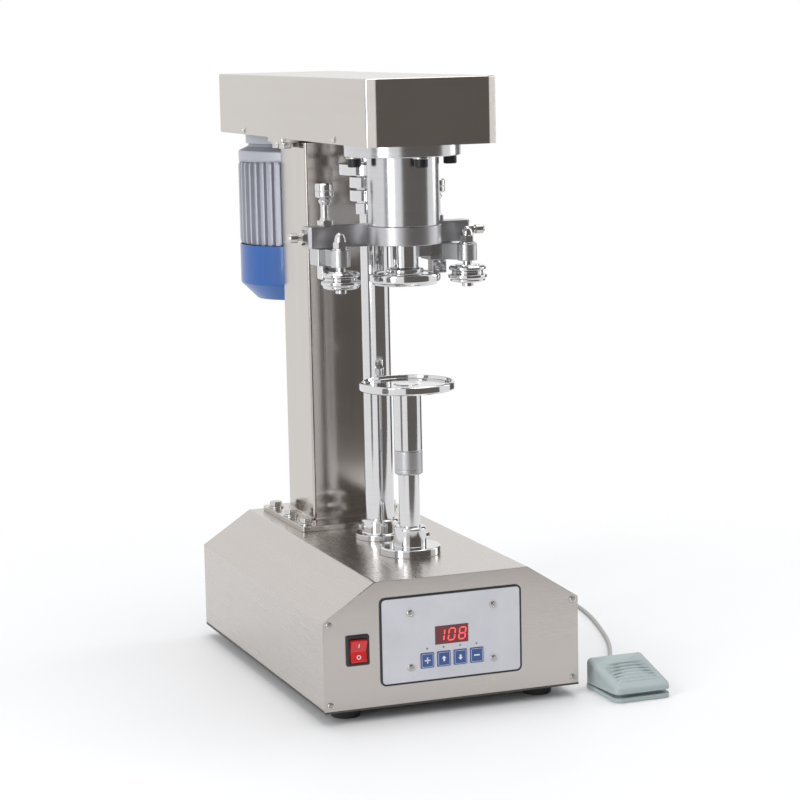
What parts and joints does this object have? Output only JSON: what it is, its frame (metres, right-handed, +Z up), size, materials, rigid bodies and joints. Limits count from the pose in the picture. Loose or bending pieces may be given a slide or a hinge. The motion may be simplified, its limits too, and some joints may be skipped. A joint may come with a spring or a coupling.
{
  "type": "can seamer",
  "caption": "Bench can seamer: a sheet steel base with a control panel, a rising turntable under a driven chuck, seaming rollers on swinging levers and a belt drive under a long hood.",
  "frame": {"origin": "on the floor, midway in width and depth of the machine without its foot switch", "axes": "+Z up, +X to the operator's right, +Y to the rear"},
  "size_m": [0.4572, 0.5964, 0.6567],
  "materials": {
    "brushed_stainless": "fine brushed, satin",
    "polished_steel": "ground and polished",
    "satin_aluminium": "satin machined",
    "dark_steel": "dark, dull",
    "screw_steel": "bright zinc",
    "black_steel": "black oxide",
    "black_rubber": "dull",
    "black_plastic": "fine grain",
    "fascia_silver": "silver film",
    "display_red": "gloss",
    "key_blue": "satin",
    "board_green": "satin",
    "rocker_red": "gloss, translucent",
    "motor_grey": "cast, satin paint",
    "cowl_blue": "satin paint",
    "belt_rubber": "dull",
    "pedal_grey": "hammer finish",
    "cord_grey": "soft sheath"
  },
  "bodies": {
    "frame": {"rubber_feet": "black_rubber", "bottom_plate": "dark_steel", "base_frame": "dark_steel", "base_cover": "brushed_stainless", "front_plate": "brushed_stainless", "rear_plate": "brushed_stainless", "cover_screws": "screw_steel", "panel_bezel": "black_plastic", "control_fascia": "fascia_silver", "display_window": "display_red", "control_board": "board_green", "switch_housing": "black_plastic", "power_inlet": "black_plastic", "cord_gland": "black_plastic", "lift_motor": "motor_grey", "lift_guide": "polished_steel", "guide_post": "polished_steel", "post_foot": "polished_steel", "post_head": "polished_steel", "column": "brushed_stainless", "frame_bolts": "screw_steel", "mounting_plate": "dark_steel", "hood": "brushed_stainless", "barrel": "polished_steel", "barrel_screws": "black_steel", "spindle_bearings": "polished_steel", "roller_carrier": "satin_aluminium", "drive_belt": "belt_rubber", "motor_shield": "motor_grey", "motor_body": "motor_grey", "fan_cowl": "cowl_blue", "pedal_base": "pedal_grey", "pedal_pin": "screw_steel", "foot_cord_lead": "cord_grey", "foot_cord": "cord_grey", "foot_cord_coil": "cord_grey"},
    "spindle": {"spindle": "polished_steel", "chuck": "polished_steel", "spindle_pulley": "satin_aluminium"},
    "rotor": {"motor_rotor": "dark_steel", "motor_pulley": "satin_aluminium"},
    "cam": {"lift_cam": "polished_steel"},
    "lift": {"lift_rod": "polished_steel", "lock_ring": "satin_aluminium", "lift_sleeve": "polished_steel", "table_bearing": "polished_steel"},
    "follower": {"cam_follower": "polished_steel"},
    "table": {"turntable": "polished_steel"},
    "lever_left": {"lever_left": "satin_aluminium", "lever_studs_left": "polished_steel"},
    "lever_right": {"lever_right": "satin_aluminium", "lever_studs_right": "polished_steel"},
    "roller_left": {"roller_left": "polished_steel"},
    "roller_right": {"roller_right": "polished_steel"},
    "rocker": {"rocker": "rocker_red"},
    "key_1": {"key_1": "key_blue"},
    "key_2": {"key_2": "key_blue"},
    "key_3": {"key_3": "key_blue"},
    "key_4": {"key_4": "key_blue"},
    "pedal": {"pedal_lid": "pedal_grey"}
  },
  "joints": [
    {"name": "motor_spin", "type": "hinge", "parent": "frame", "child": "rotor", "pos_m": [0, 0.203, 0.5], "axis": [0, 0, 1], "continuous": true},
    {"name": "spindle_spin", "type": "hinge", "parent": "frame", "child": "spindle", "pos_m": [0, -0.1524, 0.5], "axis": [0, 0, 1], "continuous": true},
    {"name": "cam_turn", "type": "hinge", "parent": "frame", "child": "cam", "pos_m": [0, -0.1524, 0.066], "axis": [0, -1, 0], "range_deg": [0, 180]},
    {"name": "table_lift", "type": "slide", "parent": "frame", "child": "lift", "axis": [0, 0, 1], "range_m": [0, 0.028]},
    {"name": "follower_spin", "type": "hinge", "parent": "lift", "child": "follower", "pos_m": [0, -0.1524, 0.0973], "axis": [0, 1, 0], "continuous": true},
    {"name": "table_spin", "type": "hinge", "parent": "lift", "child": "table", "pos_m": [0, -0.1524, 0.32], "axis": [0, 0, 1], "continuous": true},
    {"name": "lever_left_swing", "type": "hinge", "parent": "frame", "child": "lever_left", "pos_m": [-0.076, -0.1174, 0.4682], "axis": [0, 0, 1], "range_deg": [0, 20.5]},
    {"name": "lever_right_swing", "type": "hinge", "parent": "frame", "child": "lever_right", "pos_m": [0.051, -0.1174, 0.4682], "axis": [0, 0, -1], "range_deg": [0, 16.5]},
    {"name": "roller_left_spin", "type": "hinge", "parent": "lever_left", "child": "roller_left", "pos_m": [-0.072, -0.1524, 0.4457], "axis": [0, 0, 1], "continuous": true},
    {"name": "roller_right_spin", "type": "hinge", "parent": "lever_right", "child": "roller_right", "pos_m": [0.072, -0.1524, 0.4457], "axis": [0, 0, 1], "continuous": true},
    {"name": "power_rocker", "type": "hinge", "parent": "frame", "child": "rocker", "pos_m": [-0.1058, -0.273, 0.077], "axis": [-1, 0, 0], "range_deg": [0, 14]},
    {"name": "pedal_press", "type": "hinge", "parent": "frame", "child": "pedal", "pos_m": [0.1968, -0.252, 0.019], "axis": [1, 0, 0], "range_deg": [0, 3.4], "stiffness_Nm_per_rad": 1, "springref_deg": -3.44},
    {"name": "key_1_press", "type": "slide", "parent": "frame", "child": "key_1", "axis": [0, 1, 0], "range_m": [0, 0.0006], "stiffness_N_per_m": 300, "springref_m": -0.0003},
    {"name": "key_2_press", "type": "slide", "parent": "frame", "child": "key_2", "axis": [0, 1, 0], "range_m": [0, 0.0006], "stiffness_N_per_m": 300, "springref_m": -0.0003},
    {"name": "key_3_press", "type": "slide", "parent": "frame", "child": "key_3", "axis": [0, 1, 0], "range_m": [0, 0.0006], "stiffness_N_per_m": 300, "springref_m": -0.0003},
    {"name": "key_4_press", "type": "slide", "parent": "frame", "child": "key_4", "axis": [0, 1, 0], "range_m": [0, 0.0006], "stiffness_N_per_m": 300, "springref_m": -0.0003}
  ],
  "couplings": [
    {"joint": "spindle_spin", "follows": "motor_spin", "ratio": 0.5556},
    {"joint": "table_lift", "follows": "cam_turn", "m_per_rad": 0.0089127}
  ]
}
